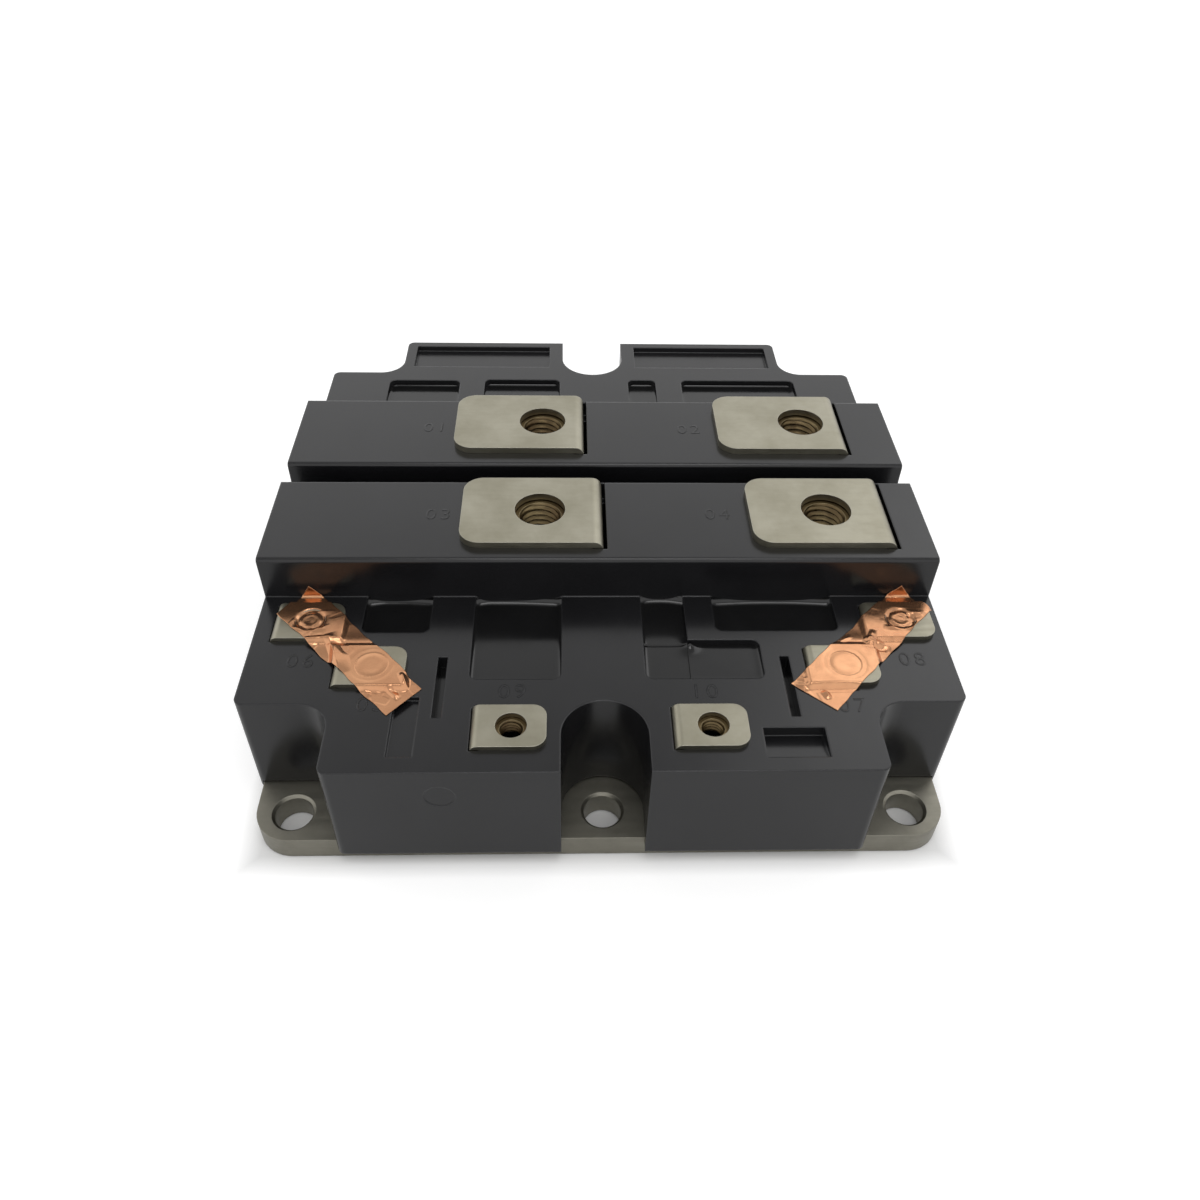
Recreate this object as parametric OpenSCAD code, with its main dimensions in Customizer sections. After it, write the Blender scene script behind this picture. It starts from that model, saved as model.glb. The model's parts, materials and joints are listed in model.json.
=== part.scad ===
// Dual power switch module: moulded case with four screw terminals on a metal base plate.
// Origin: middle of the mounting face, +Z up, +X along the terminal towers, millimetres.

/* [Case] */
// Width of the case along the towers
case_w = 130; // [129:1:170]
// Depth of the case across the towers
case_d = 140; // [138:1:180]
// Height of the low deck above the mounting face
deck_z = 27.3; // [22:0.1:36]
// Thickness of the deck
deck_t = 3; // [2:0.1:4]
// Thickness of the outer walls
wall_t = 3; // [2.95:0.05:3.6]
// Radius of the case's upright edges
edge_r = 1.5; // [0.5:0.1:2.5]
// How far the skirt hangs down past the top of the base plate
skirt_lap = 1.5; // [0.5:0.1:3]
// Gap between the skirt and the edge of the base plate
skirt_gap = 0.15; // [0.05:0.05:0.4]

/* [Corner and middle notches] */
// Width of a corner notch along X
notch_w = 17; // [14:0.1:18]
// Depth of a corner notch along Y
notch_d = 15; // [13:0.1:16]
// Radius of the inside corner of a corner notch
notch_r = 5.5; // [3:0.1:7]
// Radius of the rounded notches in the middle of the front and the rear
middle_r = 7.6; // [6:0.1:8.5]

/* [Towers] */
// Height of the towers above the deck
tower_h = 9.5; // [8:0.1:16]
// Depth of each tower
tower_d = 24.7; // [22:0.1:28]
// Width of the groove between the towers
groove_w = 5.7; // [4:0.1:8]
// Thickness of the towers' upright walls
tower_wall_t = 2.4; // [1.6:0.1:3]
// Thickness of the towers' top
tower_top_t = 3; // [2:0.1:4]

/* [Base plate] */
// Thickness of the base plate
plate_t = 5; // [3:0.1:8]
// How far the base plate's side edges lie inside the case
plate_inset_x = 1.1; // [0.6:0.1:1.5]
// How far the base plate's front and rear edges lie inside the case
plate_inset_y = 1.9; // [1:0.1:1.9]
// Radius of the base plate's corners
plate_r = 7; // [4:0.5:8]
// Diameter of the mounting holes
hole_d = 7; // [5:0.1:8]
// Chamfer around each mounting hole
hole_chamfer = 0.5; // [0.2:0.1:0.8]
// Distance of the mounting holes from the sides, the front and the rear of the case
hole_inset = 8; // [7.5:0.1:9]

/* [Main terminals] */
// Distance between the main terminals along X
main_pitch_x = 57; // [56:0.1:60]
// Distance between the main terminals along Y
main_pitch_y = 31; // [30:0.1:33]
// Middle of the four main terminals along X
main_mid_x = 16.65; // [14:0.05:17]
// Middle of the four main terminals along Y
main_mid_y = 1.5; // [0:0.1:2]
// Thickness of the main terminals
main_t = 1.5; // [1:0.1:2]
// Width of the main terminals
main_w = 20.4; // [16:0.1:21]
// Length of a main terminal's flat top
main_l = 27.9; // [24:0.1:30]
// Wall between a main nut and the leg beside it on the front tower
front_nut_wall = 4.3; // [3:0.1:5]
// Wall between a main nut and the leg beside it on the rear tower
rear_nut_wall = 0.9; // [0.8:0.05:2]
// Diameter of the screw hole in a main terminal
main_hole_d = 10; // [8.5:0.1:11]
// Width across the flats of the main nuts
main_nut_w = 13; // [12:0.1:13.2]
// Height of the main nuts
main_nut_h = 6.5; // [5:0.1:7]
// Bore of the main nuts, before the thread
main_nut_bore = 6.8; // [6:0.1:7]

/* [Small terminals] */
// Distance between the collector terminals on the front block
collector_pitch = 34.9; // [32:0.1:38]
// Distance between the gate terminals
gate_pitch = 86.2; // [85:0.1:87]
// Gap between the case wall and the leg of the left emitter terminal
emitter_wall_gap = 0.25; // [0.1:0.05:3]
// Middle of each pair of small terminals along X
small_mid_x = 1.3; // [1:0.1:1.5]
// Distance of the collector terminals from the front of the case
collector_inset = 9.3; // [8.5:0.1:10]
// Distance of the gate terminals in front of the front tower
gate_reach = 19; // [18:0.1:21]
// Distance of the emitter terminals in front of the front tower
emitter_reach = 7.5; // [7:0.1:8]
// Thickness of the small terminals
small_t = 1; // [0.6:0.1:1.2]
// Width of the small terminals
small_w = 9.3; // [8:0.1:9.5]
// Distance from a small terminal's hole to its bent edge
small_bend_x = 7; // [6.4:0.1:7]
// Distance from a small terminal's hole to its free edge
small_free_x = 6.1; // [5:0.1:6.5]
// Diameter of the hole in a small terminal
small_hole_d = 5.5; // [4.5:0.1:6]
// Width across the flats of the small nuts
small_nut_w = 7; // [5.5:0.1:7.4]
// Height of the small nuts
small_nut_h = 3.2; // [2:0.1:3.4]
// Bore of the small nuts, before the thread
small_nut_bore = 3.3; // [3:0.1:3.5]

/* [Deck openings] */
// Corner radius of the windows
window_r = 1.5; // [0.5:0.1:2.5]
// Width of the narrow slots in the front deck
slot_w = 1.7; // [1:0.1:3]
// Length of the narrow slots in the front deck
slot_l = 14.5; // [10:0.5:16]
// Depth of the resin's surface below the deck, seen in the windows
resin_drop = 1.7; // [0.8:0.1:2.5]
// Depth of the two shallow core-outs at the rear edge of the deck
core_depth = 1.4; // [0.6:0.1:1.8]
// Width of each core-out
core_w = 34.5; // [30:0.5:35]
// Length of each core-out, front to rear
core_l = 10; // [8:0.5:10]

/* [Substrates and chips] */
// Width of each ceramic substrate
sub_w = 54; // [53:0.5:56]
// Depth of each ceramic substrate
sub_d = 48; // [47:0.5:50]
// Gap between neighbouring substrates
sub_gap = 6; // [3:0.5:8]
// Thickness of the ceramic
ceramic_t = 1; // [0.4:0.1:1.5]
// Thickness of the copper on each side of the ceramic
copper_t = 0.3; // [0.2:0.05:0.5]
// Thickness of the solder under the substrates
solder_t = 0.2; // [0.1:0.05:0.3]
// Edge length of a chip
chip_w = 12.5; // [10:0.5:13]
// Thickness of a chip
chip_t = 0.4; // [0.2:0.1:0.6]
// Width and thickness of the power bond ribbons
wire_d = 0.5; // [0.3:0.05:0.6]

/* [Inside] */
// Height of the comb bars of the main terminals above the chips
bus_rise = 3.3; // [3:0.1:4]
// Height of the gate boards above the chips
board_rise = 4.8; // [4:0.1:5.5]
// Thickness of the gate boards
board_t = 1.6; // [1:0.1:2]
// Depth of the silicone gel over the gate boards
gel_cover = 3.4; // [3:0.1:4]
// Thickness of the sealing bead under the case
bead_t = 0.3; // [0.1:0.05:0.5]

/* [Shorting tapes] */
// Width of the copper tapes
tape_w = 9.2; // [7:0.1:11]
// Thickness of the copper tapes
tape_t = 0.2; // [0.1:0.05:0.4]
// How far a tape reaches past the gate terminal's hole
tape_past_gate = 10.5; // [7:0.5:13]
// How far a tape climbs the front tower
tape_climb = 2.6; // [1:0.1:5]

/* [Hidden] */
$fn = 64;

// Cuts run this far past the faces they open.
eps = 1;
// Clearance around pieces that drop into the moulded case.
fit = 0.1;
// Inside radius of the bends in the terminals.
bend_r = 0.5;

// Heights.
skirt_z = plate_t - skirt_lap;
seat_z = plate_t + bead_t;
tower_z = deck_z + tower_h;
under_z = deck_z - deck_t;
resin_z = deck_z - resin_drop;
backing_z = plate_t + solder_t;
ceramic_z = backing_z + copper_t;
pad_z = ceramic_z + ceramic_t;
chip_z = pad_z + copper_t;
wire_z = chip_z + chip_t;

// Base plate and its holes.
plate_w = case_w - 2 * plate_inset_x;
plate_d = case_d - 2 * plate_inset_y;
hole_x = case_w / 2 - hole_inset;
hole_y = case_d / 2 - hole_inset;

// Towers.
front_y = -(groove_w / 2 + tower_d);
tower_mid_y = groove_w / 2 + tower_d / 2;
tower_edge_r = 0.8;
rib_t = 1.6;
RIBS_X = [-46, 16, 31];

// Main terminals: places of the four screws, front row first.
left_x = main_mid_x - main_pitch_x / 2;
right_x = main_mid_x + main_pitch_x / 2;
front_row_y = main_mid_y - main_pitch_y / 2;
rear_row_y = main_mid_y + main_pitch_y / 2;
main_pocket_w = main_nut_w + 2 * fit;
front_bend_x = main_pocket_w / 2 + front_nut_wall + main_t;
rear_bend_x = main_pocket_w / 2 + rear_nut_wall + main_t;
MAIN = [
    [left_x, front_row_y, front_bend_x], [right_x, front_row_y, front_bend_x],
    [left_x, rear_row_y, rear_bend_x], [right_x, rear_row_y, rear_bend_x]
];
// The leg fits its tower with this much room at the nearer upright wall.
leg_room = 0.15;
leg_offset = max(abs(front_row_y + tower_mid_y), abs(rear_row_y - tower_mid_y));
main_leg_w = tower_d - 2 * (tower_wall_t + leg_offset + leg_room);
main_pocket_h = main_nut_h + 0.2;
main_corner_r = 4;
slit_gap = 0.7;
// The nut boss reaches this far to the free side of the screw, and this far below the nut.
boss_free_x = 8.5;
boss_leg_gap = 0.3;
screw_room_d = 9;
screw_room_h = 3.2;
boss_floor_t = 1.5;

// Small terminals: places of the six screws.
gate_y = front_y - gate_reach;
emitter_y = front_y - emitter_reach;
collector_y = -(case_d / 2 - collector_inset);
emitter_left_x = small_bend_x + emitter_wall_gap + wall_t - case_w / 2;
emitter_pitch = 2 * (small_mid_x - emitter_left_x);
SMALL = [
    for (side = [-1, 1])
        each [
            [small_mid_x + side * gate_pitch / 2, gate_y],
            [small_mid_x + side * emitter_pitch / 2, emitter_y],
            [small_mid_x + side * collector_pitch / 2, collector_y]
        ]
];
small_pocket_h = small_nut_h + 0.1;
small_corner_r = 2.5;
small_boss_w = 9.6;
small_boss_h = 8.2;
small_screw_d = 4.6;
small_screw_h = 4;
small_foot_l = 4;
board_z = wire_z + board_rise;
board_top_z = board_z + board_t;
gel_z = board_top_z + gel_cover;

// Windows: [left edge, right edge, nearest and farthest distance from the tower's foot].
FRONT_WINDOWS = [
    [-45.2, -32.5, 0, 9.8], [-24.2, -7.6, 0, 21.7],
    [7.8, 16.1, 0, 21.7], [10, 29.5, 11.9, 21.7], [21.7, 45.3, 0, 9.5]
];
REAR_WINDOWS = [
    [-50.6, -33.2, 3, 23.8], [-27, -8.3, 3, 24.3],
    [8.8, 15.7, 3, 24.3], [22.2, 50.7, 3, 24.3]
];
SLOTS_X = [-29.25, 33.65];
slot_y = front_y - 23.4;
core_rear_t = 2;
core_side_t = 2.5;
bead_w = 0.9;
bead_margin = 0.1;

// Pockets near the front edge: [left edge, right edge, front, rear, depth in front, depth behind].
POCKETS = [[-37, -32.6, 3.4, 16.6, 0.8, 1], [27.4, 38.2, 2.9, 9.3, 0.5, 2.2]];

// A round mark in the front wall, left by a pin of the mould.
mark_d = 5.4;
mark_depth = 0.15;
mark_x = -28.2;
mark_drop = 6.7;

// Substrates.
sub_x = (sub_w + sub_gap) / 2;
sub_y = (sub_d + sub_gap) / 2;
copper_margin = 1.5;
backing_margin = 1;
bus_strip_w = 8;
pad_gap = 1.5;
chip_inner_gap = 1.25;
chip_outer_gap = 0.95;
chip_end_gap = 0.25;
chip_gap = 2;
gate_strip_w = 2.5;
gate_strip_gap = 0.6;
chip_row_y = bus_strip_w / 2 + pad_gap + chip_inner_gap + chip_w / 2;
pad_edge_y = chip_row_y + chip_w / 2 + chip_outer_gap;
pad_end_x = sub_w / 2 - copper_margin;
chip_pitch = chip_w + chip_gap;
chip_x0 = chip_end_gap + chip_w / 2 - pad_end_x;
CHIP_COLUMNS = [chip_x0, chip_x0 + chip_pitch, chip_x0 + 2 * chip_pitch];
wire_step = 3;
wire_inset = 1.15;
wire_span = 5;
gate_wire_d = 0.3;
gate_wire_span = 3.6;
gate_wire_inset = 0.85;
room_margin = 0.5;

// Comb feet of the bus bars.
bus_z = wire_z + bus_rise;
bus_h = 6;
foot_w = 6;
foot_end_x = 7;
emitter_feet = [-sub_y, sub_y];
collector_feet = [chip_row_y - sub_y, sub_y - chip_row_y];

// Gate boards, pins and resistors.
board_edge_gap = 1;
board_half_d = case_d / 2 - notch_d - wall_t - board_edge_gap;
board_past_column = 4;
board_past_foot = 1;
pin_d = 1;
PIN_STEPS = [0, 1];
resistor_d = 2.2;
resistor_l = 5.8;
resistor_step = 9;
resistor_shift = 6;

// Plain outline with four round corners, centred.
module rounded(w, d, r) {
    square([w - 2 * r, d], center = true);
    square([w, d - 2 * r], center = true);
    for (x = [-1, 1], y = [-1, 1])
        translate([x * (w / 2 - r), y * (d / 2 - r)]) circle(r = r);
}

// The case seen from above, with every wall moved inwards by i.
module case_plan(i = 0) {
    r = i == 0 ? edge_r : 0.8;
    x = case_w / 2 - notch_w - i;
    y = case_d / 2 - notch_d - i;
    difference() {
        union() {
            rounded(2 * x, case_d - 2 * i, r);
            rounded(case_w - 2 * i, 2 * y, r);
            for (sx = [-1, 1], sy = [-1, 1])
                scale([sx, sy]) notch_fillet(x, y, notch_r + i);
        }
        for (s = [-1, 1])
            scale([1, s]) middle_notch(middle_r + i);
    }
}

module notch_fillet(x, y, r) {
    difference() {
        translate([x - 1, y - 1]) square(r + 1);
        translate([x + r, y + r]) circle(r = r);
    }
}

module middle_notch(r) {
    translate([0, hole_y]) circle(r = r);
    translate([-r, hole_y]) square([2 * r, hole_inset + eps]);
}

// A quarter of a ring in the XZ plane, from +X round to +Z, w wide towards -Y.
module quarter_bend(w, t) {
    rotate([90, 0, 0])
        rotate_extrude(angle = 90)
            translate([bend_r, 0]) square([t, w]);
}

// A flat outline in Y and Z, given as (y, z), made t thick along +X.
module upright(t) {
    rotate([90, 0, 90]) linear_extrude(t) children();
}

// Flat top of a terminal with its hole at the origin: free end at -X, bent edge at +X.
module terminal_top(free_x, bend_x, w, t, r, d) {
    flat_x = bend_x - t - bend_r;
    linear_extrude(t)
        difference() {
            union() {
                translate([r - free_x, -w / 2]) square([flat_x + free_x - r, w]);
                translate([-free_x, r - w / 2]) square([r + 1, w - 2 * r]);
                for (s = [-1, 1])
                    translate([r - free_x, s * (w / 2 - r)]) circle(r = r);
            }
            circle(d = d);
        }
    translate([flat_x, w / 2, -bend_r]) quarter_bend(w, t);
}

// Foot at the end of an upright leg whose outer face is at x: it turns to -X and rests on z.
module terminal_foot(x, y, z, w, t, end_x) {
    turn_x = x - t - bend_r;
    translate([turn_x, y + w / 2, z + t + bend_r])
        mirror([0, 0, 1]) quarter_bend(w, t);
    translate([end_x, y - w / 2, z]) cube([turn_x - end_x, w, t]);
}

// Main terminal: flat top, upright leg, a comb bar over the substrates and soldered feet.
module bus(at, feet, comb_y0, comb_y1) {
    leg_x = at[0] + at[2];
    foot_x = (at[0] < 0 ? -sub_x : sub_x) + sub_w / 2 - foot_end_x;
    prong_z = chip_z + main_t + bend_r;
    translate([at[0], at[1], tower_z])
        terminal_top(main_l - at[2], at[2], main_w, main_t, main_corner_r, main_hole_d);
    translate([leg_x - main_t, 0, 0])
        upright(main_t) {
            translate([at[1] - main_leg_w / 2, bus_z]) square([main_leg_w, tower_z - bend_r - bus_z]);
            translate([comb_y0, bus_z]) square([comb_y1 - comb_y0, bus_h]);
            for (y = feet)
                translate([y - foot_w / 2, prong_z]) square([foot_w, bus_z + 1 - prong_z]);
        }
    for (y = feet)
        terminal_foot(leg_x, y, chip_z, foot_w, main_t, foot_x);
}

module emitter_bus(at) {
    color("#a59f8c")
        bus(at, emitter_feet, emitter_feet[0] - foot_w / 2, emitter_feet[1] + foot_w / 2);
}

module collector_bus(at) {
    color("#a59f8c")
        bus(at, collector_feet, collector_feet[0] - foot_w / 2, at[1] + main_leg_w / 2);
}

// Small terminal: its bent edge is on the left, and its foot is soldered to a gate board.
module small_terminal(at) {
    leg_h = deck_z - bend_r - (board_top_z + small_t + bend_r);
    color("#a8a390")
        translate([at[0], at[1], 0])
            mirror([1, 0, 0]) {
                translate([0, 0, deck_z])
                    terminal_top(small_free_x, small_bend_x, small_w, small_t, small_corner_r, small_hole_d);
                translate([small_bend_x - small_t, -small_w / 2, board_top_z + small_t + bend_r])
                    cube([small_t, small_w, leg_h]);
                terminal_foot(small_bend_x, 0, board_top_z, small_w, small_t, small_bend_x - small_foot_l);
            }
}

// Hexagon with flats facing +X and -X.
module hexagon(w) {
    rotate(30) circle(r = w / sqrt(3), $fn = 6);
}

module nut(w, h, bore) {
    difference() {
        linear_extrude(h) hexagon(w);
        translate([0, 0, -eps]) cylinder(d = bore, h = h + 2 * eps);
    }
}

module main_nuts() {
    color("#b39a55")
        for (at = MAIN)
            translate([at[0], at[1], tower_z - main_pocket_h])
                nut(main_nut_w, main_nut_h, main_nut_bore);
}

module small_nuts() {
    color("#b39a55")
        for (at = SMALL)
            translate([at[0], at[1], deck_z - small_pocket_h])
                nut(small_nut_w, small_nut_h, small_nut_bore);
}

module base_plate() {
    color("#82807a")
        difference() {
            linear_extrude(plate_t) rounded(plate_w, plate_d, plate_r);
            for (x = [-hole_x, 0, hole_x], y = [-hole_y, hole_y])
                translate([x, y, 0]) {
                    translate([0, 0, -eps]) cylinder(d = hole_d, h = plate_t + 2 * eps);
                    translate([0, 0, plate_t - hole_chamfer])
                        cylinder(d1 = hole_d, d2 = hole_d + 4 * hole_chamfer, h = 2 * hole_chamfer);
                }
        }
}

// Room under a main terminal: nut pocket, screw tip room, and the slit for the leg.
module main_pocket(at) {
    leg_in = at[2] - main_t;
    translate([at[0], at[1], tower_z - main_pocket_h])
        linear_extrude(main_pocket_h + eps) hexagon(main_pocket_w);
    translate([at[0], at[1], tower_z - main_pocket_h - screw_room_h])
        cylinder(d = screw_room_d, h = screw_room_h + eps);
    translate([at[0] + leg_in - fit, at[1] - main_w / 2 - 2 * fit, tower_z - tower_top_t - eps])
        cube([main_t + slit_gap + fit, main_w + 4 * fit, tower_top_t + 2 * eps]);
    translate([at[0] + leg_in - bend_r - fit, at[1] - main_w / 2 - 2 * fit, tower_z - bend_r - fit])
        cube([bend_r + 2 * fit, main_w + 4 * fit, bend_r + fit + eps]);
}

// Block of the case that holds a main nut, from one upright wall of its tower to the other.
module main_boss(at) {
    floor_z = tower_z - main_pocket_h - screw_room_h - boss_floor_t;
    leg_side = min(boss_free_x, at[2] - main_t - boss_leg_gap);
    y = at[1] < main_mid_y ? -tower_mid_y : tower_mid_y;
    translate([at[0] - boss_free_x, y - tower_d / 2 + tower_wall_t / 2, floor_z])
        cube([boss_free_x + leg_side, tower_d - tower_wall_t, tower_z - tower_top_t / 2 - floor_z]);
}

// Room under a small terminal: nut pocket, screw tip room, and the slit for the leg.
module small_pocket(at) {
    leg_in = small_bend_x - small_t;
    translate([at[0], at[1], deck_z - small_pocket_h])
        linear_extrude(small_pocket_h + eps) hexagon(small_nut_w + 2 * fit);
    translate([at[0], at[1], deck_z - small_pocket_h - small_screw_h])
        cylinder(d = small_screw_d, h = small_screw_h + eps);
    translate([at[0] - small_bend_x - fit, at[1] - small_w / 2 - fit, under_z - eps])
        cube([small_t + 2 * fit, small_w + 2 * fit, deck_t + 2 * eps]);
    translate([at[0] - leg_in - fit, at[1] - small_w / 2 - fit, deck_z - bend_r - fit])
        cube([bend_r + 2 * fit, small_w + 2 * fit, bend_r + fit + eps]);
}

module small_boss(at) {
    translate([at[0] - small_boss_w / 2, at[1] - small_boss_w / 2, deck_z - small_boss_h])
        cube([small_boss_w, small_boss_w, small_boss_h - deck_t / 2]);
}

// Outline of a window: s is -1 in front of the towers, where it may run up to the tower's foot.
module window_plan(at, s) {
    w = at[1] - at[0];
    l = at[3] - at[2];
    far = tower_mid_y + tower_d / 2 + (at[2] + at[3]) / 2;
    translate([(at[0] + at[1]) / 2, s * far]) rounded(w, l, window_r);
    if (at[2] == 0)
        translate([at[0], front_y - 2 * window_r]) square([w, 2 * window_r]);
}

// Every window, from z upwards, h high.
module windows(z, h) {
    translate([0, 0, z])
        linear_extrude(h) {
            for (at = FRONT_WINDOWS)
                window_plan(at, -1);
            for (at = REAR_WINDOWS)
                window_plan(at, 1);
        }
}

module core_out(side) {
    x0 = case_w / 2 - notch_w - core_side_t - core_w;
    scale([side, 1, 1])
        translate([x0, case_d / 2 - core_rear_t - core_l, deck_z - core_depth])
            cube([core_w, core_l, core_depth + eps]);
}

// A pocket in the front deck, its place counted from the front edge; its floor may slope.
module pocket(at) {
    y0 = at[2] - case_d / 2;
    y1 = at[3] - case_d / 2;
    translate([at[0], 0, deck_z])
        upright(at[1] - at[0]) polygon([[y0, eps], [y0, -at[4]], [y1, -at[5]], [y1, eps]]);
}

module pin_mark() {
    translate([mark_x, mark_depth - case_d / 2, deck_z - mark_drop])
        rotate([90, 0, 0]) cylinder(d = mark_d, h = mark_depth + eps);
}

// A tower's outside: its long top edges are round, and it stands a little inside the deck.
module tower(s) {
    sunk_h = tower_h + deck_t / 2;
    translate([-case_w / 2, s * tower_mid_y, tower_z - sunk_h / 2])
        upright(case_w) rounded(tower_d, sunk_h, tower_edge_r);
}

module tower_room(s) {
    room_w = case_w - 2 * wall_t;
    room_d = tower_d - 2 * tower_wall_t;
    translate([-room_w / 2, s * tower_mid_y - room_d / 2, under_z - eps])
        cube([room_w, room_d, tower_z - tower_top_t - under_z + eps]);
}

// Ribs across the room inside each tower, down to the resin.
module tower_ribs() {
    for (s = [-1, 1], x = RIBS_X)
        translate([x - rib_t / 2, s * tower_mid_y - tower_d / 2 + tower_wall_t / 2, under_z])
            cube([rib_t, tower_d - tower_wall_t, tower_h + deck_t - tower_top_t / 2]);
}

module case_shell() {
    difference() {
        union() {
            translate([0, 0, skirt_z]) linear_extrude(deck_z - skirt_z) case_plan();
            for (s = [-1, 1])
                tower(s);
        }
        translate([0, 0, skirt_z - eps])
            linear_extrude(seat_z - skirt_z + eps)
                rounded(plate_w + 2 * skirt_gap, plate_d + 2 * skirt_gap, plate_r + skirt_gap);
        translate([0, 0, skirt_z - eps]) linear_extrude(under_z - skirt_z + eps) case_plan(wall_t);
        for (s = [-1, 1])
            tower_room(s);
    }
}

module housing() {
    color("#46464a")
        difference() {
            union() {
                case_shell();
                tower_ribs();
                for (at = MAIN)
                    main_boss(at);
                for (at = SMALL)
                    small_boss(at);
            }
            for (at = MAIN)
                main_pocket(at);
            for (at = SMALL)
                small_pocket(at);
            windows(under_z - eps, deck_t + 2 * eps);
            for (x = SLOTS_X)
                translate([x - slot_w / 2, slot_y - slot_l / 2, under_z - eps])
                    cube([slot_w, slot_l, deck_t + 2 * eps]);
            for (at = POCKETS)
                pocket(at);
            core_out(-1);
            core_out(1);
            pin_mark();
        }
}

module sealing_bead() {
    color("#1c1c1e")
        translate([0, 0, plate_t])
            linear_extrude(bead_t)
                difference() {
                    case_plan(wall_t - bead_margin - bead_w);
                    case_plan(wall_t - bead_margin);
                }
}

// Places its children on each of the four substrates.
module on_substrates() {
    for (x = [-sub_x, sub_x], y = [-sub_y, sub_y])
        translate([x, y, 0]) children();
}

module slab(w, d, z, t) {
    translate([-w / 2, -d / 2, z]) cube([w, d, t]);
}

// A slab under a substrate, its edges a little inside those of the ceramic.
module backing_slab(z, t) {
    slab(sub_w - 2 * backing_margin, sub_d - 2 * backing_margin, z, t);
}

module substrate_solder() {
    color("#b8b8b4") on_substrates() backing_slab(plate_t, solder_t);
}

module substrate_backing() {
    color("#b8733f") on_substrates() backing_slab(backing_z, copper_t);
}

module ceramic(sx, sy) {
    color("#dcdcd2") translate([sx * sub_x, sy * sub_y, 0]) slab(sub_w, sub_d, ceramic_z, ceramic_t);
}

module collector_pads() {
    y0 = bus_strip_w / 2 + pad_gap;
    color("#b8733f")
        on_substrates()
            for (s = [0, 1])
                mirror([0, s, 0])
                    translate([-pad_end_x, y0, pad_z]) cube([2 * pad_end_x, pad_edge_y - y0, copper_t]);
}

module emitter_pads() {
    color("#b8733f") on_substrates() slab(2 * pad_end_x, bus_strip_w, pad_z, copper_t);
}

module gate_pads() {
    color("#b8733f")
        on_substrates()
            for (s = [0, 1])
                mirror([0, s, 0])
                    translate([-pad_end_x, pad_edge_y + gate_strip_gap, pad_z])
                        cube([2 * pad_end_x - bus_strip_w, gate_strip_w, copper_t]);
}

// One chip in each row of each substrate, at x from the substrate's middle.
module chips(columns) {
    on_substrates()
        for (x = columns, s = [-1, 1])
            translate([x, s * chip_row_y, 0]) slab(chip_w, chip_w, chip_z, chip_t);
}

module igbt_chips() {
    color("#5a5c66") chips([CHIP_COLUMNS[0], CHIP_COLUMNS[1]]);
}

module diode_chips() {
    color("#6b6d72") chips([CHIP_COLUMNS[2]]);
}

// A bond ribbon's arch along Y, from the chip's face at y = span down to the pad at y = 0.
module arch(span, d) {
    translate([0, span / 2, wire_z])
        rotate([90, 0, 90])
            linear_extrude(d, center = true)
                difference() {
                    circle(d = span + d);
                    circle(d = span - d);
                    translate([-span, -2 * span]) square(2 * span);
                }
    translate([-d / 2, -d / 2, chip_z]) cube([d, d, chip_t + d / 2]);
}

module bond_wires() {
    inner_y = chip_row_y - chip_w / 2 + wire_inset - wire_span;
    outer_y = chip_row_y + chip_w / 2 - gate_wire_inset + gate_wire_span;
    color("#d9d9d6")
        on_substrates()
            for (s = [0, 1])
                mirror([0, s, 0]) {
                    for (x = CHIP_COLUMNS, k = [-1, 0, 1])
                        translate([x + k * wire_step, inner_y, 0]) arch(wire_span, wire_d);
                    for (x = [CHIP_COLUMNS[0], CHIP_COLUMNS[1]])
                        translate([x, outer_y, 0])
                            mirror([0, 1, 0]) arch(gate_wire_span, gate_wire_d);
                }
}

// Outline of a gate board, which reaches from the emitter terminal's foot to the collector's.
module board_plan(side) {
    low_x = side < 0 ? -(case_w / 2 - wall_t - board_edge_gap / 2) : sub_gap / 2;
    emitter_x = small_mid_x + side * emitter_pitch / 2 - small_bend_x;
    collector_x = small_mid_x + side * collector_pitch / 2 - small_bend_x;
    high_x = side * sub_x + CHIP_COLUMNS[2] + board_past_column;
    front_reach = case_d / 2 - wall_t - board_edge_gap;
    tab_end = side < 0 ? collector_x + small_foot_l + board_past_foot : high_x;
    tab_low = side < 0 ? -(case_w / 2 - notch_w - wall_t - board_edge_gap) : middle_r + wall_t + fit;
    translate([low_x, -board_half_d]) square([high_x - low_x, 2 * board_half_d]);
    translate([tab_low, -front_reach]) square([tab_end - tab_low, front_reach - board_half_d + 1]);
    translate([low_x, -board_half_d])
        square([emitter_x + small_foot_l + board_past_foot - low_x, board_half_d + emitter_y + small_w / 2]);
}

module gate_board(side) {
    color("#2f6b3c") translate([0, 0, board_z]) linear_extrude(board_t) board_plan(side);
}

// Pins from the boards down to the gate strips.
module gate_pins() {
    pin_y = pad_edge_y + gate_strip_gap + gate_strip_w / 2;
    color("#c9c39a")
        on_substrates()
            for (s = [-1, 1], k = PIN_STEPS)
                translate([chip_x0 + chip_pitch * (k + 0.5), s * pin_y, chip_z])
                    cylinder(d = pin_d, h = board_z - chip_z);
}

module gate_resistors() {
    color("#3a3f58")
        for (side = [-1, 1], k = [-1, 0, 1])
            translate([side * sub_x - resistor_shift, k * resistor_step + sub_y, board_top_z + resistor_d / 2])
                rotate([0, 90, 0])
                    cylinder(d = resistor_d, h = resistor_l, center = true);
}

// Every bent terminal, without colour, to cut its way through the gel and the resin.
module all_terminals() {
    emitter_bus(MAIN[0]);
    emitter_bus(MAIN[1]);
    collector_bus(MAIN[2]);
    collector_bus(MAIN[3]);
    for (at = SMALL)
        small_terminal(at);
}

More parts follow.
